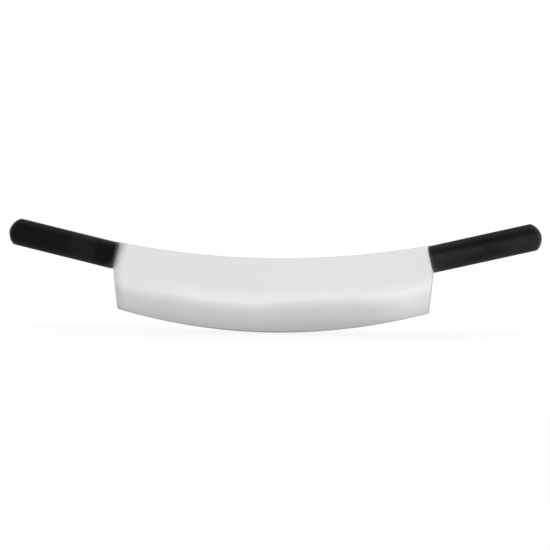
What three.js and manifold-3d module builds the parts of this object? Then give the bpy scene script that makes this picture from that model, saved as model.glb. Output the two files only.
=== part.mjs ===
// Two-handled mincing knife: one steel blade, ground to a long curved edge, with a tang at each end
// and a plastic handle moulded onto each tang.
// Millimetres. +X runs along the blade, +Y through its thickness and +Z from the cutting edge up to the spine.
// The origin is the lowest point of the cutting edge, in the middle of the blade's thickness.

import * as THREE from 'three';
import { mergeVertices } from 'three/addons/utils/BufferGeometryUtils.js';
import Module from 'manifold-3d';

// Blade
const edgeLength = 350;          // straight distance from one cutting corner to the other
const edgeRadius = 650;          // curve of the cutting edge
const spineRadius = 943;         // curve of the spine
const bladeHeight = 83;          // cutting edge to spine, in the middle
const bladeThickness = 3;
const endLean = 6;               // degrees that each end of the blade leans outward as it rises
const cornerEase = 1.4;          // length rounded off on each side of a cutting corner

// Ground faces, the same on both sides of the blade
const grindHeight = 36;          // cutting edge up to where the taper leaves the flat cheek
const grindBlend = 16;           // height over which the taper rolls off the cheek
const taperThickness = 0.5;      // thickness left where the taper ends and the cutting bevel starts
const bevelHeight = 1.2;         // height of the cutting bevel
const edgeWidth = 0.12;          // width of the cutting edge itself

// Handles
const handleLength = 125;
const handleHeight = 30;
const handleThickness = 21;
const handleTilt = 13.1;         // degrees that each handle rises towards its outer end
const handleEdgeRadius = 7;      // rounding of the long edges and the outer end
const frontRimRadius = 3;        // rounding of the rim round the front, beside the blade
const handleCornerRadius = 2;    // rounding of the front corners, seen from the side
const endBulge = 8.9;            // how far the outer end bows out, seen from the side
const endRake = 2;               // degrees that the outer end is cut back at its top
const cornerInset = 0.4;         // how far the lower front corner is set in from the blade's end
const spineStep = 0.85;          // how far the spine stands above the handle where it enters it

// Tangs, hidden in the handles
const lapDepth = 3;              // how far the blade's shoulder is let into the handle's front
const handleWall = 7;            // plastic above and below the tang
const tangCover = 33;            // plastic from the tip of the tang to the handle's outer end
const tangEase = 3.5;            // length rounded off at the tang's corners and its root
const keyHoleDiameter = 7;       // holes in the tang that the plastic runs through
const keyHolePitch = 28;
const firstKeyHole = 22;         // from the handle's front to the middle of the first hole
const seatGap = 0.3;             // clearance between the tang and the plastic round it

// Fineness of the curves
const outlineSteps = 14;
const turnSegments = 480;
const roundingSteps = 6;
const endSteps = 10;
const solvingRounds = 20;        // steps to settle where two outlines meet
const leastFlat = 0.4;           // flat always left between two rounded edges

const wasm = await Module();
wasm.setup();

function toSolid(geometry) {
  const bare = geometry.clone();
  bare.deleteAttribute('normal');
  bare.deleteAttribute('uv');
  const merged = mergeVertices(bare);
  return new wasm.Manifold(new wasm.Mesh({
    numProp: 3,
    vertProperties: merged.getAttribute('position').array,
    triVerts: Uint32Array.from(merged.index.array),
  }));
}

function toGeometry(solid) {
  const mesh = solid.getMesh();
  const geometry = new THREE.BufferGeometry();
  geometry.setAttribute('position', new THREE.BufferAttribute(mesh.vertProperties, 3));
  geometry.setIndex(new THREE.BufferAttribute(mesh.triVerts, 1));
  geometry.computeVertexNormals();
  return geometry;
}

// Outline of the blade in its own plane, x along the blade and y up
const cornerX = edgeLength / 2;
const cornerY = edgeRadius - Math.sqrt(edgeRadius ** 2 - cornerX ** 2);
const endSlope = Math.tan(THREE.MathUtils.degToRad(endLean));

function spineAt(x) {
  return bladeHeight + spineRadius - Math.sqrt(spineRadius ** 2 - x ** 2);
}

function bladeEndAt(y) {
  return cornerX + (y - cornerY) * endSlope;
}

// Directions along and across the right handle, and the middle of its front face.
// The handle's top meets the spine there, and its lower corner stands just inside the blade's end.
const tilt = THREE.MathUtils.degToRad(handleTilt);
const along = new THREE.Vector2(Math.cos(tilt), Math.sin(tilt));
const across = new THREE.Vector2(-Math.sin(tilt), Math.cos(tilt));
const handleFront = findHandleFront();

function findHandleFront() {
  const top = new THREE.Vector2(cornerX, spineAt(cornerX) - spineStep);
  for (let round = 0; round < solvingRounds; round++) {
    const lowerCornerY = top.y - handleHeight * across.y;
    top.x = bladeEndAt(lowerCornerY) - cornerInset + handleHeight * across.x;
    top.y = spineAt(top.x) - spineStep;
  }
  return top.addScaledVector(across, -handleHeight / 2);
}

function handlePoint(distance, height) {
  return handleFront.clone().addScaledVector(along, distance).addScaledVector(across, height);
}

// Where the straight line from a point in the direction "along" meets the blade's leaning end
function meetBladeEnd(point) {
  const gap = bladeEndAt(point.y) - point.x;
  return point.clone().addScaledVector(along, gap / (along.x - along.y * endSlope));
}

// Where the shoulder, square to the handle, meets the spine
function findShoulderTop() {
  const point = handlePoint(lapDepth, handleHeight / 2);
  for (let round = 0; round < solvingRounds; round++) {
    point.addScaledVector(across, (spineAt(point.x) - point.y) / across.y);
  }
  return point;
}

function mirrored(point) {
  return new THREE.Vector2(-point.x, point.y);
}

// Carries a path round each corner but the last, curving off a set distance before and after it
function easeCorners(path, corners, ease) {
  for (let i = 0; i < corners.length - 1; i++) {
    const corner = corners[i];
    const before = path.currentPoint.clone().sub(corner).setLength(ease).add(corner);
    const after = corners[i + 1].clone().sub(corner).setLength(ease).add(corner);
    path.lineTo(before.x, before.y);
    path.quadraticCurveTo(corner.x, corner.y, after.x, after.y);
  }
}

const tangHeight = handleHeight - 2 * handleWall;
const tangLength = handleLength - tangCover;
const lowerRoot = meetBladeEnd(handlePoint(0, -tangHeight / 2));

// The blade runs along its edge, up the right end, round the right tang, back along the spine,
// round the left tang and down the left end.
function bladeOutline() {
  const cuttingCorner = new THREE.Vector2(cornerX, cornerY);
  const lowerTip = handlePoint(tangLength, -tangHeight / 2);
  const upperTip = handlePoint(tangLength, tangHeight / 2);
  const upperRoot = handlePoint(lapDepth, tangHeight / 2);
  const shoulderTop = findShoulderTop();
  const endStart = lowerRoot.clone().sub(cuttingCorner).setLength(cornerEase).add(cuttingCorner);
  const rightTang = [lowerRoot, lowerTip, upperTip, upperRoot, shoulderTop];
  const leftTang = [upperRoot, upperTip, lowerTip, lowerRoot, cuttingCorner].map(mirrored);

  const ease = Math.min(tangEase, tangHeight / 2 - leastFlat, handleWall - leastFlat);
  const edgeHalfAngle = Math.asin(cornerX / edgeRadius) - cornerEase / edgeRadius;
  const spineHalfAngle = Math.asin(shoulderTop.x / spineRadius);
  const spineMiddle = bladeHeight + spineRadius;
  const down = -Math.PI / 2;

  const outline = new THREE.Shape();
  outline.absarc(0, edgeRadius, edgeRadius, down - edgeHalfAngle, down + edgeHalfAngle, false);
  outline.quadraticCurveTo(cuttingCorner.x, cuttingCorner.y, endStart.x, endStart.y);
  easeCorners(outline, rightTang, ease);
  outline.absarc(0, spineMiddle, spineRadius, down + spineHalfAngle, down - spineHalfAngle, true);
  easeCorners(outline, leftTang, ease);
  const edgeStart = outline.getPoint(0);
  outline.lineTo(-endStart.x, endStart.y);
  outline.quadraticCurveTo(-cuttingCorner.x, cuttingCorner.y, edgeStart.x, edgeStart.y);
  outline.holes.push(...keyHoles());
  return outline;
}

function keyHoles() {
  const holes = [];
  for (let distance = firstKeyHole; distance <= tangLength - keyHoleDiameter; distance += keyHolePitch) {
    const middle = handlePoint(distance, 0);
    for (const x of [middle.x, -middle.x]) {
      const hole = new THREE.Path();
      hole.absarc(x, middle.y, keyHoleDiameter / 2, 0, 2 * Math.PI, true);
      holes.push(hole);
    }
  }
  return holes;
}

// The outline as a solid of some thickness, grown by a clearance all round
function extrudeOutline(thickness, clearance) {
  const solid = new THREE.ExtrudeGeometry(bladeOutline(), {
    depth: thickness,
    curveSegments: outlineSteps,
    bevelEnabled: clearance > 0,
    bevelSegments: 1,
    bevelSize: 0,
    bevelThickness: clearance,
    bevelOffset: clearance,
  });
  solid.translate(0, 0, -thickness / 2);
  solid.rotateX(Math.PI / 2);
  return solid;
}

// A section, given as radius and place across the thickness, turned about the axis of the edge's curve
function turnAboutEdgeAxis(section) {
  const ring = new THREE.LatheGeometry(section.getPoints(roundingSteps), turnSegments);
  ring.translate(0, 0, edgeRadius);
  return ring;
}

// The flat steel sheet that the blade is cut from, as a ring wide enough for the blade and its tangs
function sheetRing() {
  const inner = edgeRadius - 2 * bladeHeight;
  const outer = edgeRadius + bladeHeight;
  const section = new THREE.Path();
  section.moveTo(inner, -bladeThickness / 2);
  section.lineTo(outer, -bladeThickness / 2);
  section.lineTo(outer, bladeThickness / 2);
  section.lineTo(inner, bladeThickness / 2);
  section.lineTo(inner, -bladeThickness / 2);
  return turnAboutEdgeAxis(section);
}

// What the wheel takes off one side of the blade
function grindingRing() {
  const cheek = bladeThickness / 2;
  const start = edgeRadius - grindHeight;
  const rollOff = new THREE.Vector2(start + grindBlend / 2, cheek);
  const taperEnd = new THREE.Vector2(edgeRadius - bevelHeight, taperThickness / 2);
  const blendEnd = rollOff.clone().lerp(taperEnd, grindBlend / 2 / (taperEnd.x - rollOff.x));

  const section = new THREE.Path();
  section.moveTo(start, cheek);
  section.quadraticCurveTo(rollOff.x, rollOff.y, blendEnd.x, blendEnd.y);
  section.lineTo(taperEnd.x, taperEnd.y);
  section.lineTo(edgeRadius, edgeWidth / 2);
  section.lineTo(edgeRadius + bladeThickness, edgeWidth / 2);
  section.lineTo(edgeRadius + bladeThickness, cheek + bladeThickness);
  section.lineTo(start, cheek + bladeThickness);
  section.lineTo(start, cheek);
  return turnAboutEdgeAxis(section);
}

function bladeGeometry() {
  const blank = toSolid(sheetRing()).intersect(toSolid(extrudeOutline(2 * bladeThickness, 0)));
  // The wheel works only between the blade's two ends, so it never touches the tangs.
  const reach = 2 * lowerRoot.x;
  const zone = toSolid(new THREE.BoxGeometry(reach, reach, reach));
  const grind = toSolid(grindingRing()).intersect(zone);
  const otherGrind = toSolid(grindingRing().rotateZ(Math.PI)).intersect(zone);
  return toGeometry(blank.subtract(grind).subtract(otherGrind));
}

// Skins a row of closed rings, each with as many points, and caps both ends
function loft(rings) {
  const size = rings[0].length;
  const last = (rings.length - 1) * size;
  const index = [];
  for (let start = 0; start < last; start += size) {
    for (let i = 0; i < size; i++) {
      const here = start + i;
      const next = start + (i + 1) % size;
      index.push(here, next, next + size, here, next + size, here + size);
    }
  }
  for (let i = 1; i < size - 1; i++) {
    index.push(0, i + 1, i);
    index.push(last, last + i, last + i + 1);
  }
  const geometry = new THREE.BufferGeometry().setFromPoints(rings.flat());
  geometry.setIndex(index);
  return geometry;
}

// How far a quarter round of a given radius has risen, a distance in from where it starts
function quarterRound(radius, distance) {
  const left = Math.max(radius - distance, 0);
  return Math.sqrt(radius ** 2 - left ** 2);
}

// One cross-section of the handle: a rectangle with rounded corners
function handleRing(distance, halfThickness, top, bottom) {
  const radius = Math.min(handleEdgeRadius, halfThickness - leastFlat, (top - bottom) / 2 - leastFlat);
  const ring = [];
  for (let quarter = 0; quarter < 4; quarter++) {
    const side = quarter === 0 || quarter === 3 ? 1 : -1;
    const middleY = side * (halfThickness - radius);
    const middleZ = quarter < 2 ? top - radius : bottom + radius;
    for (let step = 0; step <= roundingSteps; step++) {
      const angle = (quarter + step / roundingSteps) * Math.PI / 2;
      const y = middleY + radius * Math.cos(angle);
      const z = middleZ + radius * Math.sin(angle);
      ring.push(new THREE.Vector3(distance, y, z));
    }
  }
  return ring;
}

// The handle's outside, with its front at x = 0 and its length along +X
function handleBody() {
  const halfHeight = handleHeight / 2;
  const halfThickness = handleThickness / 2;
  const mostRounding = halfThickness - bladeThickness / 2 - seatGap;
  const frontRadius = Math.min(frontRimRadius, mostRounding);
  const outerRadius = Math.min(handleEdgeRadius, mostRounding);

  const rake = THREE.MathUtils.degToRad(endRake);
  const halfChord = halfHeight / Math.cos(rake);
  const endRadius = (halfChord ** 2 + endBulge ** 2) / (2 * endBulge);
  const endMiddleX = handleLength - endRadius;
  const endMiddleZ = (endBulge - endRadius) * Math.sin(rake);
  const topCornerAngle = Math.acos((halfHeight - endMiddleZ) / endRadius);
  const tipAngle = Math.PI / 2 - Math.asin(2 * leastFlat / endRadius);

  const distances = [];
  for (let step = 0; step <= roundingSteps; step++) {
    distances.push(frontRadius * (1 - Math.cos(step / roundingSteps * Math.PI / 2)));
  }
  for (let step = 0; step <= endSteps; step++) {
    const angle = THREE.MathUtils.lerp(topCornerAngle, tipAngle, step / endSteps);
    distances.push(endMiddleX + endRadius * Math.sin(angle));
  }

  return loft(distances.map((distance) => {
    const toEnd = handleLength - distance;
    const frontWidth = halfThickness - frontRadius + quarterRound(frontRadius, distance);
    const outerWidth = halfThickness - outerRadius + quarterRound(outerRadius, toEnd);
    const width = Math.min(frontWidth, outerWidth);
    const side = halfHeight - handleCornerRadius + quarterRound(handleCornerRadius, distance);
    const bow = quarterRound(endRadius, toEnd);
    return handleRing(distance, width, Math.min(side, endMiddleZ + bow), Math.max(-side, endMiddleZ - bow));
  }));
}

// Place of the right handle: its front on the blade's shoulder, rising outward
const handlePlace = new THREE.Matrix4()
  .makeRotationY(-tilt)
  .setPosition(handleFront.x, 0, handleFront.y);

function handleGeometry() {
  const socket = extrudeOutline(bladeThickness, seatGap).applyMatrix4(handlePlace.clone().invert());
  return toGeometry(toSolid(handleBody()).subtract(toSolid(socket)));
}

function subPart(name, geometry, material) {
  const mesh = new THREE.Mesh(geometry, material);
  mesh.name = name;
  return mesh;
}

const steel = { color: 0xc9cacb, roughness: 0.28, metalness: 1 };
const blackPlastic = { color: 0x1e1e1f, roughness: 0.55, metalness: 0 };

const group = new THREE.Group();
group.add(subPart('blade', bladeGeometry(), new THREE.MeshStandardMaterial(steel)));

const moulding = handleGeometry();
for (const [name, turn] of [['right_handle', 0], ['left_handle', Math.PI]]) {
  const handle = subPart(name, moulding, new THREE.MeshStandardMaterial(blackPlastic));
  handle.applyMatrix4(handlePlace);
  const side = new THREE.Group();
  side.rotation.z = turn;
  side.add(handle);
  group.add(side);
}

export default group;
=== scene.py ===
import math

import bmesh
import bpy
from mathutils import Matrix, Vector


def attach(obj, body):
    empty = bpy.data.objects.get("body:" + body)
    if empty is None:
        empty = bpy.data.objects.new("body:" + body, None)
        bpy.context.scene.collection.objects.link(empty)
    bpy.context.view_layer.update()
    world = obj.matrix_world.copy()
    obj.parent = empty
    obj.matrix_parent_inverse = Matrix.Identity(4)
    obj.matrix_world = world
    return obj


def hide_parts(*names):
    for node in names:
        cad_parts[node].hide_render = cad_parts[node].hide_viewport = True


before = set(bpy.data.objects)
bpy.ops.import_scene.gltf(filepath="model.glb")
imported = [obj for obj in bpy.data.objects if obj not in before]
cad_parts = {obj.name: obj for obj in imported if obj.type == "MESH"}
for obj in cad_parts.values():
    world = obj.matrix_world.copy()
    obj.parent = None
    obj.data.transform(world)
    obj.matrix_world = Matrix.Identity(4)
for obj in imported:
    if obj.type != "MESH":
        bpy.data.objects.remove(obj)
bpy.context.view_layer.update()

mm = 0.001
closeBy = 0.01 * mm                 # places nearer than this count as one place
sameWay = 0.99999                   # directions that agree this much count as one
mergeDistance = 0.0001 * mm
print("frame loaded with", ", ".join(sorted(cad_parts)))


# Shader sums

class Socket:
    # one output of a node, so that sums on it are written as sums
    def __init__(self, finish, node, name=None):
        self.finish = finish
        self.node = node
        self.out = findSocket(node.outputs, name)

    def __getitem__(self, name):
        return Socket(self.finish, self.node, name)

    def calc(self, operation, *values):
        return self.finish.node("ShaderNodeMath", {"operation": operation}, dict(enumerate(values)))

    def __add__(self, other):
        return self.calc("ADD", self, other)

    def __radd__(self, other):
        return self.calc("ADD", other, self)

    def __sub__(self, other):
        return self.calc("SUBTRACT", self, other)

    def __rsub__(self, other):
        return self.calc("SUBTRACT", other, self)

    def __mul__(self, other):
        return self.calc("MULTIPLY", self, other)

    def __rmul__(self, other):
        return self.calc("MULTIPLY", other, self)

    def __truediv__(self, other):
        return self.calc("DIVIDE", self, other)

    def __pow__(self, other):
        return self.calc("POWER", self, other)

    def __abs__(self):
        return self.calc("ABSOLUTE", self)


def findSocket(sockets, name):
    if isinstance(name, int):
        return sockets[name]
    usable = [socket for socket in sockets if socket.enabled and name in (None, socket.name)]
    return usable[0]


def grey(level):
    return (level, level, level, 1)


def between(ends, share):
    # from the first of two numbers to the second, as share goes from 0 to 1
    return ends[0] + share * (ends[1] - ends[0])


class Finish:
    # a node tree, with one method that adds any node to it
    def __init__(self, tree):
        self.tree = tree
        tree.nodes.clear()

    def node(self, kind, settings=None, inputs=None):
        made = self.tree.nodes.new(kind)
        for name, value in (settings or {}).items():
            if name == "stops":
                self.setStops(made.color_ramp.elements, value)
            elif name == "rampBlend":
                made.color_ramp.interpolation = value
            else:
                setattr(made, name, value)
        for name, value in (inputs or {}).items():
            socket = findSocket(made.inputs, name)
            if isinstance(value, Socket):
                self.tree.links.new(value.out, socket)
            else:
                socket.default_value = value
        return Socket(self, made) if made.outputs else made

    def setStops(self, elements, stops):
        # a new ramp has two stops, so only the others are added
        for stop in stops[2:]:
            elements.new(stop[0])
        for element, (place, level) in zip(elements, stops):
            element.position = place
            element.color = grey(level)

    def ease(self, value, start, end, blend="SMOOTHSTEP"):
        # 0 before start, 1 after end, with a ramp between
        settings = {"interpolation_type": blend}
        return self.node("ShaderNodeMapRange", settings, {"Value": value, 1: start, 2: end})

    def noise(self, vector, scale, detail, roughness=0.55):
        inputs = {"Vector": vector, "Scale": scale, "Detail": detail, "Roughness": roughness}
        return self.node("ShaderNodeTexNoise", {"noise_dimensions": "3D"}, inputs)

    def colorAlong(self, stops, value, blend="EASE"):
        return self.node("ShaderNodeValToRGB", {"stops": stops, "rampBlend": blend}, {0: value})

    def levelAlong(self, stops, value):
        return self.node("ShaderNodeRGBToBW", None, {0: self.colorAlong(stops, value)})

    def multiplied(self, first, second):
        settings = {"data_type": "RGBA", "blend_type": "MULTIPLY"}
        return self.node("ShaderNodeMix", settings, {"Factor": 1.0, "A": first, "B": second})

    def shaded(self, color, shade):
        # a colour times a number
        tint = self.node("ShaderNodeCombineColor", None, {0: shade, 1: shade, 2: shade})
        return self.multiplied(color, tint)


def newFinish(name):
    material = bpy.data.materials.new(name)
    material.use_nodes = True
    return material, Finish(material.node_tree)


# Mesh helpers

def wholeMesh(bm):
    return bm.verts[:] + bm.edges[:] + bm.faces[:]


def cutOff(bm, point, normal):
    # cuts away what lies past a plane and closes the cut
    cut = bmesh.ops.bisect_plane(bm, geom=wholeMesh(bm), dist=mergeDistance, plane_co=point, plane_no=normal,
                                 clear_outer=True)
    edges = [part for part in cut["geom_cut"] if isinstance(part, bmesh.types.BMEdge)]
    bmesh.ops.contextual_create(bm, geom=edges)
    bmesh.ops.recalc_face_normals(bm, faces=bm.faces[:])


def roundOff(bm, affect, parts, offset, segments):
    bmesh.ops.bevel(bm, geom=parts, offset=offset, offset_type="OFFSET", affect=affect,
                    segments=segments, profile=0.5, material=-1)


def addObject(bm, name, material):
    mesh = bpy.data.meshes.new(name)
    bm.to_mesh(mesh)
    bm.free()
    mesh.materials.append(material)
    added = bpy.data.objects.new(name, mesh)
    bpy.context.scene.collection.objects.link(added)
    return added


def placeOf(vert):
    return vert.co[:]


def cornersOf(part):
    return sorted(vert.index for vert in part.verts)


def settleOrder(bm):
    # extruding adds to a mesh in a chance order, so all of it is sorted and comes out alike in each run
    for parts, key in ((bm.verts, placeOf), (bm.edges, cornersOf), (bm.faces, cornersOf)):
        for rank, part in enumerate(sorted(parts, key=key)):
            part.index = rank
        parts.sort()


def finishPiece(bm, name, material, node):
    bmesh.ops.remove_doubles(bm, verts=bm.verts[:], dist=mergeDistance)
    bmesh.ops.recalc_face_normals(bm, faces=bm.faces[:])
    settleOrder(bm)
    for face in bm.faces:
        face.smooth = True
    piece = addObject(bm, name, material)
    normals = piece.modifiers.new("even normals", "WEIGHTED_NORMAL")
    normals.keep_sharp = True
    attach(piece, "root")
    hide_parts(node)
    print("made", name, "with", len(piece.data.polygons), "faces")


# Steel blade, ground on both sides

blade = {
    "edgeLength": 350 * mm,         # from one cutting corner to the other
    "edgeRadius": 650 * mm,
    "spineRadius": 943 * mm,
    "height": 83 * mm,              # cutting edge to spine, in the middle
    "thickness": 3 * mm,
    "endLean": math.radians(6),     # how far each end leans outward
    "grindHeight": 36 * mm,         # where the taper leaves the flat cheek
    "grindBlend": 16 * mm,          # height over which it rolls off the cheek
    "taperThickness": 0.5 * mm,
    "bevelHeight": 1.2 * mm,
    "edgeWidth": 0.12 * mm,
    "spineEase": 0.3 * mm,          # rounding along the spine
    "cornerEase": 1.4 * mm,         # rounding of the cutting corners
    "lapDepth": 3 * mm,             # how far the shoulder goes into the handle
    "tangHeight": 16 * mm,
    "tangLength": 92 * mm,
    "tangEase": 3.5 * mm,
    "grindSegments": 16,
    "spineSegments": 3,
    "tangSegments": 4,
    "cornerFlats": 3,
    "sweep": math.radians(39),      # of the turned blank, which is cut to length afterwards
    "steps": 240,
    "sharpAngle": math.radians(5),  # edges that turn more than this look sharp
}

handle = {
    "length": 125 * mm,
    "height": 30 * mm,
    "thickness": 21 * mm,
    "tilt": math.radians(13.1),     # how far each handle rises
    "edgeRadius": 7 * mm,
    "frontRadius": 3 * mm,          # rim round the front, beside the blade
    "cornerRadius": 2 * mm,         # front corners, seen from the side
    "endBulge": 8.9 * mm,
    "endRake": math.radians(2),
    "cornerInset": 0.4 * mm,        # lower front corner inside the blade's end
    "spineStep": 0.85 * mm,         # spine above the handle where it enters
    "endEase": 0.6 * mm,            # softening of the corners of the outer end
    "cornerSegments": 9,
    "rimSteps": 14,
    "endSteps": 34,
    "leastFlat": 0.4 * mm,
    "fitTries": 20,                 # rounds in which the front finds its place on the spine
}

along = Vector((math.cos(handle["tilt"]), 0, math.sin(handle["tilt"])))
across = Vector((-along.z, 0, along.x))
edgeMiddle = Vector((0, 0, blade["edgeRadius"]))
spineMiddle = blade["height"] + blade["spineRadius"]


def edgeAt(x):
    return blade["edgeRadius"] - math.sqrt(blade["edgeRadius"] ** 2 - x ** 2)


def spineAt(x):
    return spineMiddle - math.sqrt(blade["spineRadius"] ** 2 - x ** 2)


cuttingCorner = Vector((blade["edgeLength"] / 2, 0, edgeAt(blade["edgeLength"] / 2)))


def findHandleFront():
    # the handle's top meets the spine, and its lower corner stands just inside the blade's end
    top = cuttingCorner.copy()
    for attempt in range(handle["fitTries"]):
        lower = top - across * handle["height"]
        endX = cuttingCorner.x + (lower.z - cuttingCorner.z) * math.tan(blade["endLean"])
        top.x = endX - handle["cornerInset"] + across.x * handle["height"]
        top.z = spineAt(top.x) - handle["spineStep"]
    return top - across * handle["height"] / 2


handleFront = findHandleFront()


def onSide(vector, side):
    # a place or direction given for the right end, carried to the left end when side is -1
    return Vector((vector.x * side, vector.y, vector.z))


def distanceAlong(point, side):
    return (onSide(point, side) - handleFront).dot(along)


def heightAcross(point, side):
    return (onSide(point, side) - handleFront).dot(across)


def bladeSection(bm):
    # half of the section, from the spine down to the edge
    cheek = blade["thickness"] / 2
    rollOff = blade["grindHeight"] - blade["grindBlend"] / 2
    half = [
        (cheek, blade["height"]),
        (cheek, rollOff),
        (blade["taperThickness"] / 2, blade["bevelHeight"]),
        (blade["edgeWidth"] / 2, 0),
    ]
    front = [bm.verts.new((0, -y, z)) for y, z in half]
    back = [bm.verts.new((0, y, z)) for y, z in half]
    loop = front + back[::-1]
    for start, end in zip(loop, loop[1:] + loop[:1]):
        bm.edges.new((start, end))
    roundOff(bm, "VERTICES", [front[1], back[1]], blade["grindBlend"] / 2, blade["grindSegments"])


def bendSpine(bm):
    # the turned blank follows the edge, so its upper rows are moved out to the spine's own curve
    lift = spineMiddle - blade["edgeRadius"]
    for vert in bm.verts:
        arm = vert.co - edgeMiddle
        side = arm.y
        arm.y = 0
        if abs(arm.length - (blade["edgeRadius"] - blade["height"])) < closeBy:
            fall = lift * -arm.normalized().z
            reach = math.sqrt(fall ** 2 + blade["spineRadius"] ** 2 - lift ** 2) - fall
            vert.co = edgeMiddle + arm.normalized() * reach
            vert.co.y = side


def isSpineEdge(edge):
    onSpine = all(abs(vert.co.z - spineAt(vert.co.x)) < closeBy for vert in edge.verts)
    return onSpine and abs(edge.verts[0].co.y - edge.verts[1].co.y) < closeBy


def onSpineEase(edge):
    # a little more than the ease is tall, so that all of its edges are found
    return all(spineAt(vert.co.x) - vert.co.z < 1.5 * blade["spineEase"] for vert in edge.verts)


def easeCuttingCorner(bm, side):
    # a few flats follow a small round from the cutting edge to the blade's end
    edgeAngle = math.asin(blade["edgeLength"] / 2 / blade["edgeRadius"]) - math.pi / 2
    endAngle = -blade["endLean"]
    halfTurn = (endAngle - edgeAngle) / 2
    radius = blade["cornerEase"] / math.tan(halfTurn)
    middleAngle = edgeAngle + halfTurn
    inward = Vector((-math.cos(middleAngle), 0, -math.sin(middleAngle)))
    middle = cuttingCorner + inward * radius / math.cos(halfTurn)
    flats = blade["cornerFlats"]
    for flat in range(flats):
        angle = edgeAngle + 2 * halfTurn * (flat + 1) / (flats + 1)
        outward = Vector((math.cos(angle), 0, math.sin(angle)))
        cutOff(bm, onSide(middle + outward * radius, side), onSide(outward, side))


def drawTang(bm, caps, side):
    # splits the end's two faces at the tang's height and draws the middle out
    # dict.fromkeys leaves out what is there twice and keeps the order
    halfHeight = blade["tangHeight"] / 2
    for level in (-halfHeight, halfHeight):
        edges = dict.fromkeys(edge for face in caps for edge in face.edges)
        verts = dict.fromkeys(vert for face in caps for vert in face.verts)
        split = bmesh.ops.bisect_plane(bm, geom=[*verts, *edges, *caps], dist=mergeDistance,
                                       plane_co=onSide(handleFront + across * level, side),
                                       plane_no=onSide(across, side))
        caps = [part for part in split["geom"] if isinstance(part, bmesh.types.BMFace)]
    root = [face for face in caps if abs(heightAcross(face.calc_center_median(), side)) < halfHeight]
    drawn = bmesh.ops.extrude_face_region(bm, geom=root)["geom"]
    bmesh.ops.delete(bm, geom=root, context="FACES")
    tip = [part for part in drawn if isinstance(part, bmesh.types.BMVert)]
    for vert in tip:
        vert.co += onSide(along, side) * (blade["tangLength"] - distanceAlong(vert.co, side))
    outer = [vert for vert in tip if abs(abs(heightAcross(vert.co, side)) - halfHeight) < closeBy]
    corners = dict.fromkeys(edge for vert in outer for edge in vert.link_edges
                            if all(end in outer for end in edge.verts))
    roundOff(bm, "EDGES", list(corners), blade["tangEase"], blade["tangSegments"])


def trimEnd(bm, side):
    outward = onSide(Vector((math.cos(blade["endLean"]), 0, -math.sin(blade["endLean"]))), side)
    shoulder = onSide(along, side)
    cutOff(bm, onSide(cuttingCorner, side), outward)
    cutOff(bm, onSide(handleFront + along * blade["lapDepth"], side), shoulder)
    easeCuttingCorner(bm, side)
    bm.normal_update()
    caps = [face for face in bm.faces if max(face.normal.dot(outward), face.normal.dot(shoulder)) > sameWay]
    drawTang(bm, caps, side)


def makeBlade():
    bm = bmesh.new()
    bladeSection(bm)
    start = Matrix.Rotation(blade["sweep"] / 2, 3, "Y")
    bmesh.ops.rotate(bm, verts=bm.verts[:], cent=edgeMiddle, matrix=start)
    bmesh.ops.spin(bm, geom=wholeMesh(bm), cent=edgeMiddle, axis=(0, -1, 0), dvec=(0, 0, 0),
                   angle=blade["sweep"], steps=blade["steps"], use_merge=False, use_duplicate=True)
    bmesh.ops.bridge_loops(bm, edges=bm.edges[:])
    bendSpine(bm)
    bmesh.ops.recalc_face_normals(bm, faces=bm.faces[:])
    spineEdges = [edge for edge in bm.edges if isSpineEdge(edge)]
    roundOff(bm, "EDGES", spineEdges, blade["spineEase"], blade["spineSegments"])
    for side in (1, -1):
        trimEnd(bm, side)
    for edge in bm.edges:
        edge.smooth = edge.calc_face_angle(0) < blade["sharpAngle"] or onSpineEase(edge)
    return bm


# Moulded handles

def quarterRound(radius, distance):
    left = max(radius - distance, 0)
    return math.sqrt(radius ** 2 - left ** 2)


def softMin(first, second, ease):
    # the lesser of two, with the corner between them rounded off
    blend = max(ease - abs(first - second), 0) / ease
    return min(first, second) - blend ** 2 * ease / 4


def addSection(bm, distance, halfThickness, top, bottom):
    # a rectangle with rounded corners, square to the handle
    middle = (top + bottom) / 2
    halfHeight = (top - bottom) / 2
    radius = min(handle["edgeRadius"], halfThickness - handle["leastFlat"], halfHeight - handle["leastFlat"])
    place = Matrix(((0, 0, 1, distance), (halfThickness, 0, 0, 0), (0, halfHeight, 0, middle), (0, 0, 0, 1)))
    verts = bmesh.ops.create_grid(bm, x_segments=1, y_segments=1, size=1, matrix=place)["verts"]
    roundOff(bm, "VERTICES", verts, radius, handle["cornerSegments"])


def handleStations():
    # distance from the front, half thickness, top and bottom of each section
    halfHeight = handle["height"] / 2
    halfThickness = handle["thickness"] / 2
    endRim = handle["edgeRadius"]
    frontRim = handle["frontRadius"]
    halfChord = halfHeight / math.cos(handle["endRake"])
    endRadius = (halfChord ** 2 + handle["endBulge"] ** 2) / (2 * handle["endBulge"])
    endMiddle = (handle["endBulge"] - endRadius) * math.sin(handle["endRake"])
    endStart = handle["length"] - endRadius
    distances = [frontRim * (1 - math.cos(step / handle["rimSteps"] * math.pi / 2))
                 for step in range(handle["rimSteps"] + 1)]
    lastAngle = math.pi / 2 - math.asin(2 * handle["leastFlat"] / endRadius)
    for step in range(handle["endSteps"] + 1):
        distances.append(endStart + endRadius * math.sin(lastAngle * step / handle["endSteps"]))
    for distance in distances:
        toEnd = handle["length"] - distance
        width = halfThickness - frontRim + quarterRound(frontRim, distance)
        width = min(width, halfThickness - endRim + quarterRound(endRim, toEnd))
        side = halfHeight - handle["cornerRadius"] + quarterRound(handle["cornerRadius"], distance)
        bow = quarterRound(endRadius, toEnd)
        top = softMin(side, endMiddle + bow, handle["endEase"])
        bottom = -softMin(side, bow - endMiddle, handle["endEase"])
        yield distance, width, top, bottom


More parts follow.
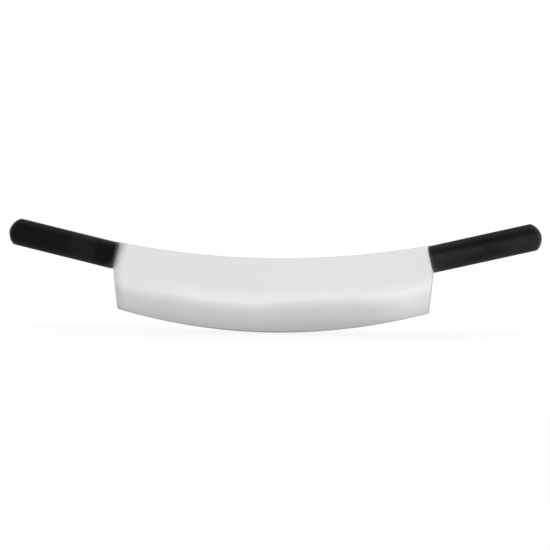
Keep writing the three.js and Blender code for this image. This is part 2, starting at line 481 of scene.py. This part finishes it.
def makeHandle(turn):
    bm = bmesh.new()
    loops = []
    for station in handleStations():
        before = set(bm.edges)
        addSection(bm, *station)
        loops.append([edge for edge in bm.edges if edge not in before])
    caps = [loops[0][0].link_faces[0], loops[-1][0].link_faces[0]]
    bmesh.ops.delete(bm, geom=[face for face in bm.faces if face not in caps], context="FACES_ONLY")
    for loop, nextLoop in zip(loops, loops[1:]):
        bmesh.ops.bridge_loops(bm, edges=loop + nextLoop)
    bmesh.ops.rotate(bm, verts=bm.verts[:], matrix=Matrix.Rotation(-handle["tilt"], 3, "Y"))
    bmesh.ops.translate(bm, verts=bm.verts[:], vec=handleFront)
    bmesh.ops.rotate(bm, verts=bm.verts[:], matrix=Matrix.Rotation(turn, 3, "Z"))
    return bm


# Satin steel

steel = {
    # tones that change from place to place are matched to the photograph; they are partly the ground face's
    # own finish and partly painted reflection, highlight and shade
    "tones": [                      # distance up from the edge in shares of toneReach, and tone there
        (0.0, 0.364),
        (0.022, 0.405),
        (0.03, 0.506),
        (0.10, 0.541),
        (0.20, 0.587),
        (0.36, 0.629),
        (0.43, 0.651),
        (0.54, 0.734),
        (0.64, 0.805),
        (0.72, 0.810),
        (1.0, 0.810),
    ],
    "toneReach": 50 * mm,
    "ridge": [                      # share of the edge's length, and how much brighter the painted highlight makes the roll-off there
        (0.0, 0.0),
        (0.12, 0.02),
        (0.26, 0.075),
        (0.40, 0.085),
        (0.58, 0.05),
        (0.78, 0.045),
        (0.92, 0.045),
        (1.0, 0.0),
    ],
    "ridgeStart": (0.54, 0.70),     # shares of toneReach over which the painted highlight comes up
    "ridgeStop": (0.71, 1.0),       # and goes down again
    "grindLine": [                  # share of the edge's length, and how high the ground face goes there
        (0.0, 0.10),
        (0.08, 0.18),
        (0.15, 0.48),
        (0.26, 0.44),
        (0.44, 0.44),
        (0.57, 0.95),
        (0.64, 0.97),
        (0.77, 0.68),
        (0.84, 0.15),
        (0.94, 0.07),
        (1.0, 0.40),
    ],
    "grindWander": 9 * mm,          # from the lowest to the highest that it can go
    "wanderStart": 8 * mm,          # distance up from the edge at which the tones wander in full
    "brightEnd": (115 * mm, 162 * mm),  # stretch at the right end over which a painted highlight brightens the ground face
    "brightLift": 0.225,            # how much brighter it gets there
    "brightFade": (22 * mm, 42 * mm),   # distance up from the edge over which that is lost
    "leftLift": 0.02,               # painted light: how much brighter the steel is at the left end than at the right end
    "sideBlend": 100 * mm,          # the two ends' looks blend over this much on each side of the middle
    "leftDulling": 0.2,             # painted shade: how much darker the border zone of the left end is
    "dullReach": (1 * mm, 10 * mm),     # distance in from the end over which that is lost
    "lowDulling": (0.4, 1.0),       # share of it down at the edge, and higher up
    "lowReach": (8 * mm, 24 * mm),
    "handleShade": 0.17,            # painted shade: how much darker it is high up beside the left handle
    "shadeReach": (4 * mm, 12 * mm),
    "shadeRise": (-3 * mm, 15 * mm),    # measured up from the middle of the handle's front
    "rightShine": 0.06,             # painted highlight: how much brighter it is beside the right handle
    "shineInset": 6 * mm,           # which fades out this near to the blade's end
    "borderDulling": (0.2, 0.38),   # how much darker the border of the left and the right end is
    "borderWidth": (0.2 * mm, 1.5 * mm),
    "spineDulling": 0.28,           # how much darker the spine is than the cheeks
    "spineReach": (0.05 * mm, 0.6 * mm),
    "darkMiddle": 0.41,             # share of the edge's length where the cutting bevel is darkest
    "darkReach": (0.03, 0.27),      # how far from there that is lost
    "darkShade": 0.27,              # how much darker the bevel is there
    "bevelLift": 0.1,               # how much brighter the rest of the bevel is
    "bevelReach": (0.9 * mm, 1.8 * mm),
    "lineStretch": 0.03,            # how slowly the grinding lines change up the blade, next to along it
    "fineLines": 2600,              # scales of the two sets of lines
    "broadLines": 240,
    "fineStreaks": (0.012, 0.042),  # contrast of the lines on the cheeks, and on the ground taper
    "broadStreaks": (0.006, 0.031),
    "roughness": (0.44, 0.46),      # of the cheeks, and of the ground taper
    "lineRoughness": 0.08,
    "lineStrength": 0.12,
    "lineDepth": 0.02 * mm,
}


def makeSteel():
    material, finish = newFinish("satin ground steel")
    place = finish.node("ShaderNodeTexCoord")["Object"]
    rise = finish.node("ShaderNodeSeparateXYZ", None, {0: place})["Z"]
    centred = finish.node("ShaderNodeMapping", {"vector_type": "POINT"},
                          {"Vector": place, "Location": -edgeMiddle})
    axes = finish.node("ShaderNodeSeparateXYZ", None, {0: centred})
    x = axes["X"]
    down = 0 - axes["Z"]
    depth = blade["edgeRadius"] - (x * x + down * down) ** 0.5      # distance up from the edge
    arc = x.calc("ARCTAN2", x, down) * blade["edgeRadius"]          # distance along it, from the middle
    share = arc / blade["edgeLength"] + 0.5

    # grinding lines run across the edge
    stretched = depth * steel["lineStretch"]
    lines = finish.node("ShaderNodeCombineXYZ", None, {0: arc, 1: stretched, 2: axes["Y"]})
    fine = finish.noise(lines, steel["fineLines"], detail=3)
    broad = finish.noise(lines, steel["broadLines"], detail=2)

    # the border of the ground face isn't quite parallel to the edge
    wander = (finish.levelAlong(steel["grindLine"], share) - 0.5) * steel["grindWander"]
    ground = 1 - finish.ease(depth - wander, blade["grindHeight"] - blade["grindBlend"], blade["grindHeight"])
    level = (depth - wander * finish.ease(depth, 0, steel["wanderStart"])) / steel["toneReach"]
    tone = finish.colorAlong(steel["tones"], level, "LINEAR")
    # a painted highlight along the roll-off above the ground face
    rolling = finish.ease(level, *steel["ridgeStart"]) * (1 - finish.ease(level, *steel["ridgeStop"]))
    ridgeHighlight = finish.levelAlong(steel["ridge"], share) * rolling
    # a painted highlight on the ground face at the right end
    low = 1 - finish.ease(depth - wander, *steel["brightFade"])
    lift = finish.ease(arc, *steel["brightEnd"], "LINEAR") * steel["brightLift"] * low
    # painted light, a little brighter towards the left end
    leftLight = (0.5 - share) * steel["leftLift"]

    # how far in from the blade's ends and from the handles' fronts
    outer = abs(x)
    inward = (cuttingCorner.x - outer) * math.cos(blade["endLean"])
    fromEnd = inward + (rise - cuttingCorner.z) * math.sin(blade["endLean"])
    fromHandle = (handleFront.x - outer) * along.x + (handleFront.z - rise) * along.z
    inset = fromEnd.calc("MINIMUM", fromEnd, fromHandle)
    right = finish.ease(x, -steel["sideBlend"], steel["sideBlend"])

    # painted shade darkens the left end, also high up beside its handle, and a painted highlight brightens
    # the steel by the right handle
    nearEnd = 1 - finish.ease(inset, *steel["dullReach"])
    fading = between(steel["lowDulling"], finish.ease(depth, *steel["lowReach"]))
    high = finish.ease(rise - handleFront.z, *steel["shadeRise"])
    shade = high * (1 - finish.ease(fromHandle, *steel["shadeReach"])) * steel["handleShade"]
    paintedLeftShade = (nearEnd * steel["leftDulling"] * fading + shade) * (1 - right)
    nearHandle = 1 - finish.ease(fromHandle, *steel["dullReach"])
    rightShine = nearHandle * finish.ease(fromEnd, 0, steel["shineInset"]) * right * steel["rightShine"]
    paintedEndLight = paintedLeftShade - rightShine
    border = (1 - finish.ease(fromEnd, *steel["borderWidth"])) * between(steel["borderDulling"], right)

    # the spine is darker, down to a little below its curve
    below = spineMiddle - rise
    underSpine = (x * x + below * below) ** 0.5 - blade["spineRadius"]
    spine = (1 - finish.ease(underSpine, *steel["spineReach"])) * steel["spineDulling"]

    # the cutting bevel is darkest a little left of its middle
    dark = 1 - finish.ease(abs(share - steel["darkMiddle"]), *steel["darkReach"])
    onBevel = 1 - finish.ease(depth, *steel["bevelReach"])
    bevel = onBevel * (dark * steel["darkShade"] - steel["bevelLift"])

    fineStreaks = (fine - 0.5) * between(steel["fineStreaks"], ground)
    broadStreaks = (broad - 0.5) * between(steel["broadStreaks"], ground)
    # the grinding lines' streaks, with the painted highlights and the painted light towards the left end
    streaksAndHighlights = 1 + fineStreaks + broadStreaks + lift + ridgeHighlight + leftLight
    color = finish.shaded(tone, streaksAndHighlights * (1 - paintedEndLight) * (1 - border) * (1 - spine) * (1 - bevel))
    roughness = between(steel["roughness"], ground) + (fine - 0.5) * steel["lineRoughness"]
    bump = finish.node("ShaderNodeBump", None,
                       {"Strength": steel["lineStrength"], "Distance": steel["lineDepth"], "Height": fine})
    surface = finish.node("ShaderNodeBsdfPrincipled", None,
                          {"Base Color": color, "Metallic": 1.0, "Roughness": roughness, "Normal": bump})
    finish.node("ShaderNodeOutputMaterial", None, {"Surface": surface})
    return material


# Black plastic

plastic = {
    # here too the tones are matched to the photograph; the two handles' different tones, the bands and the
    # darker patch low down are painted reflection and shade
    "leftTones": [                  # share of the handle's length from its front, and tone there
        (0.0, 0.0035),
        (0.17, 0.0035),
        (0.22, 0.0085),
        (0.38, 0.0090),
        (0.46, 0.0045),
        (1.0, 0.0035),
    ],
    "rightTones": [
        (0.0, 0.0220),
        (0.24, 0.0208),
        (0.42, 0.0178),
        (0.60, 0.0182),
        (0.74, 0.0182),
        (0.86, 0.0205),
        (1.0, 0.0215),
    ],
    "rightBands": [                 # share of the handle's height, and share of that tone there
        (0.0, 0.75),
        (0.20, 0.92),
        (0.54, 1.0),
        (0.64, 0.72),
        (0.70, 0.42),
        (0.755, 0.26),
        (0.80, 0.40),
        (0.86, 0.54),
        (1.0, 0.42),
    ],
    "bandSlant": 0.05,              # how far the bands drop along the handle, in shares of the height
    "bandLevel": 0.35,              # share of the length where they are as listed
    "lowShade": 0.3,                # painted shade: how much darker the right one is low down, near its middle
    "lowMiddle": 0.42,              # share of the length
    "lowReach": (0.15, 0.34),
    "lowHeight": (0.3, 0.5),
    "cloudScale": 45,               # broad unevenness of the moulding
    "cloudContrast": 0.9,
    "cloudRoughness": 0.1,
    "grain": 1.6 * mm,
    "grainContrast": 0.6,
    "grainRoughness": 0.06,
    "grainStrength": 0.2,
    "grainDepth": 0.03 * mm,
    "grainGloss": 2.4,              # how much the grain breaks up the gloss
    "roughness": 0.45,
    "coatRoughness": 0.3,
    "specular": 0.06,
    "edgeGloss": 0.31,              # how much shinier it looks where it turns away
    "edgeFade": 0.6,                # how much of that is lost again at its outline
    "turnStart": 0.02,              # how far it has turned where the gloss begins
    "fadeTurn": (0.1, 0.7),
    "rimGloss": (0.6 * mm, 3.8 * mm),   # the front rim is glossy up to here, and dull past here
    "cornerGloss": 0.3,             # gloss of the lower front corner
    "cornerReach": (3 * mm, 13 * mm),
    "endGloss": 0.18,               # gloss round the outer end
    "endCentre": 17 * mm,           # how far its middle lies inside the end
    "endReach": (10 * mm, 16 * mm),
    "endStart": (0.86, 0.92),       # share of the length where it begins
    "topReach": (0.90, 0.985),      # share of the height over which the top loses its gloss
    "topDulling": (0.35, 1.0),      # how much of it, near the front and further out
    "topLength": (0.15, 0.55),
}


def makePlastic():
    material, finish = newFinish("black moulded plastic")
    place = finish.node("ShaderNodeTexCoord")["Object"]
    axes = finish.node("ShaderNodeSeparateXYZ", None, {0: place})
    outward = abs(axes["X"]) - handleFront.x
    rise = axes["Z"] - handleFront.z
    fromFront = outward * along.x + rise * along.z
    fromAxis = rise * along.x - outward * along.z
    length = fromFront / handle["length"]
    height = fromAxis / handle["height"] + 0.5
    right = finish.ease(axes["X"], -handleFront.x, handleFront.x)
    grain = finish.noise(place, 1 / plastic["grain"], detail=3)
    cloud = finish.noise(place, plastic["cloudScale"], detail=2)

    # painted reflection makes the right handle paler, in bands along it, and painted shade makes it darker
    # low down near its middle
    leftTone = finish.colorAlong(plastic["leftTones"], length)
    slanted = height + (length - plastic["bandLevel"]) * plastic["bandSlant"]
    rightTone = finish.multiplied(finish.colorAlong(plastic["rightTones"], length),
                                  finish.colorAlong(plastic["rightBands"], slanted))
    tone = finish.node("ShaderNodeMix", {"data_type": "RGBA"},
                       {"Factor": right, "A": leftTone, "B": rightTone})
    low = 1 - finish.ease(abs(length - plastic["lowMiddle"]), *plastic["lowReach"])
    low = low * (1 - finish.ease(height, *plastic["lowHeight"]))
    uneven = 1 + (cloud - 0.5) * plastic["cloudContrast"] + (grain - 0.5) * plastic["grainContrast"]
    color = finish.shaded(tone, uneven * (1 - low * right * plastic["lowShade"]))
    roughness = (plastic["roughness"] + (cloud - 0.5) * plastic["cloudRoughness"]
                 + (grain - 0.5) * plastic["grainRoughness"])
    bump = finish.node("ShaderNodeBump", None, {"Strength": plastic["grainStrength"],
                                                "Distance": plastic["grainDepth"], "Height": grain})

    # gloss where it turns away, on the lower front corner, round the outer end and on the front rim
    facing = finish.node("ShaderNodeLayerWeight", None, {"Blend": 0.5})["Facing"]
    turned = finish.ease(facing, plastic["turnStart"], 1.0, "LINEAR") ** 0.5
    fade = 1 - finish.ease(facing, *plastic["fadeTurn"]) * plastic["edgeFade"]
    edges = turned * plastic["edgeGloss"] * fade
    fromBottom = fromAxis + handle["height"] / 2
    fromCorner = (fromFront ** 2 + fromBottom ** 2) ** 0.5
    corner = (1 - finish.ease(fromCorner, *plastic["cornerReach"])) * plastic["cornerGloss"]
    pastCentre = fromFront.calc("MAXIMUM", fromFront - (handle["length"] - plastic["endCentre"]), 0)
    fromCentre = (pastCentre ** 2 + fromAxis ** 2) ** 0.5
    ring = finish.ease(fromCentre, *plastic["endReach"]) * finish.ease(length, *plastic["endStart"])
    broken = 1 + (grain - 0.5) * plastic["grainGloss"]
    topDull = between(plastic["topDulling"], finish.ease(length, *plastic["topLength"]))
    matt = 1 - finish.ease(height, *plastic["topReach"]) * topDull
    rim = 1 - finish.ease(fromFront, *plastic["rimGloss"])
    gloss = (edges + corner + ring * plastic["endGloss"]) * broken * matt + rim
    surface = finish.node("ShaderNodeBsdfPrincipled", None,
                          {"Base Color": color, "Roughness": roughness, "Normal": bump,
                           "Specular IOR Level": plastic["specular"], "Coat Weight": gloss,
                           "Coat Roughness": plastic["coatRoughness"]})
    finish.node("ShaderNodeOutputMaterial", None, {"Surface": surface})
    return material


steelFinish = makeSteel()
plasticFinish = makePlastic()
print("finishes made")

finishPiece(makeBlade(), "ground_blade", steelFinish, "blade")
finishPiece(makeHandle(0), "right_grip", plasticFinish, "right_handle")
finishPiece(makeHandle(math.pi), "left_grip", plasticFinish, "left_handle")


# Studio

studio = {
    "floorSize": 30.0,
    "floorDrop": 0.05 * mm,         # the floor lies this far under the cutting edge
    "floorTone": 0.95,
    "worldLight": 0.95,
    "nearFloor": 0.5,               # the floor keeps its shadow within this distance
    "farFloor": 1.4,                # and is plain white past this one
    "shadow": 0.5,                  # how much of the shadow shows
    "lampAim": Vector((0, 0, 60)) * mm,
    "lamps": {                      # place, size, watts
        "top softbox": ((0.05, -0.2, 1.5), (1.8, 1.4), 2.6),
        "right softbox": ((1.25, -0.45, 0.9), (0.8, 0.8), 1.0),
        "back softbox": ((-0.9, 0.9, 1.0), (0.8, 0.8), 1.8),
    },
}


def whiteRays(finish):
    # 1 for what is seen straight, in a glossy surface or through a clear one
    path = finish.node("ShaderNodeLightPath")
    seen = path["Is Camera Ray"]
    seen = seen.calc("MAXIMUM", seen, path["Is Glossy Ray"])
    return seen.calc("MAXIMUM", seen, path["Is Transmission Ray"])


def makeFloor():
    material, finish = newFinish("pale floor")
    place = finish.node("ShaderNodeTexCoord")["Object"]
    away = finish.node("ShaderNodeVectorMath", {"operation": "LENGTH"}, {0: place})["Value"]
    far = 1 - (1 - finish.ease(away, studio["nearFloor"], studio["farFloor"])) * studio["shadow"]
    cloth = finish.node("ShaderNodeBsdfDiffuse", None, {"Color": grey(studio["floorTone"])})
    glow = finish.node("ShaderNodeEmission", None, {"Color": grey(1), "Strength": 1.0})
    mixed = finish.node("ShaderNodeMixShader", None, {0: far * whiteRays(finish), 1: cloth, 2: glow})
    finish.node("ShaderNodeOutputMaterial", None, {"Surface": mixed})
    bm = bmesh.new()
    bmesh.ops.create_grid(bm, x_segments=1, y_segments=1, size=studio["floorSize"] / 2)
    bmesh.ops.translate(bm, verts=bm.verts[:], vec=(0, 0, -studio["floorDrop"]))
    floor = addObject(bm, "floor", material)


def makeWorld():
    world = bpy.data.worlds.new("white studio")
    world.use_nodes = True
    bpy.context.scene.world = world
    finish = Finish(world.node_tree)
    light = finish.node("ShaderNodeBackground", None, {"Color": grey(1), "Strength": studio["worldLight"]})
    white = finish.node("ShaderNodeBackground", None, {"Color": grey(1), "Strength": 1.0})
    mixed = finish.node("ShaderNodeMixShader", None, {0: whiteRays(finish), 1: light, 2: white})
    finish.node("ShaderNodeOutputWorld", None, {"Surface": mixed})


def makeLamp(name, place, size, watts):
    lamp = bpy.data.lights.new(name, "AREA")
    lamp.shape = "RECTANGLE"
    lamp.size, lamp.size_y = size
    lamp.energy = watts
    lampObject = bpy.data.objects.new(name, lamp)
    lampObject.location = place
    aim = studio["lampAim"] - Vector(place)
    lampObject.rotation_euler = aim.to_track_quat("-Z", "Y").to_euler()
    lampObject.visible_camera = False
    bpy.context.scene.collection.objects.link(lampObject)


camera = {
    "target": Vector((3.1, 0, 64.4)) * mm,
    "distance": 2500 * mm,
    "yaw": math.radians(6.24),      # stands a little to the right
    "pitch": math.radians(2.96),    # and a little above
    "roll": math.radians(0.43),
    "fieldWidth": 613.6 * mm,       # width of the picture at the target
    "sensor": 36.0,
}


def makeCamera():
    data = bpy.data.cameras.new("camera")
    data.sensor_width = camera["sensor"]
    data.lens = camera["sensor"] * camera["distance"] / camera["fieldWidth"]
    cameraObject = bpy.data.objects.new("camera", data)
    level = math.cos(camera["pitch"])
    back = Vector((math.sin(camera["yaw"]) * level, -math.cos(camera["yaw"]) * level,
                   math.sin(camera["pitch"])))
    turn = (-back).to_track_quat("-Z", "Y").to_matrix() @ Matrix.Rotation(camera["roll"], 3, "Z")
    stand = Matrix.Translation(camera["target"] + back * camera["distance"])
    cameraObject.matrix_world = stand @ turn.to_4x4()
    bpy.context.scene.collection.objects.link(cameraObject)
    bpy.context.scene.camera = cameraObject


makeFloor()
makeWorld()
for name, lamp in studio["lamps"].items():
    makeLamp(name, *lamp)
makeCamera()
bpy.context.scene.view_settings.view_transform = "Standard"
print("studio ready")

bpy.context.view_layer.update()
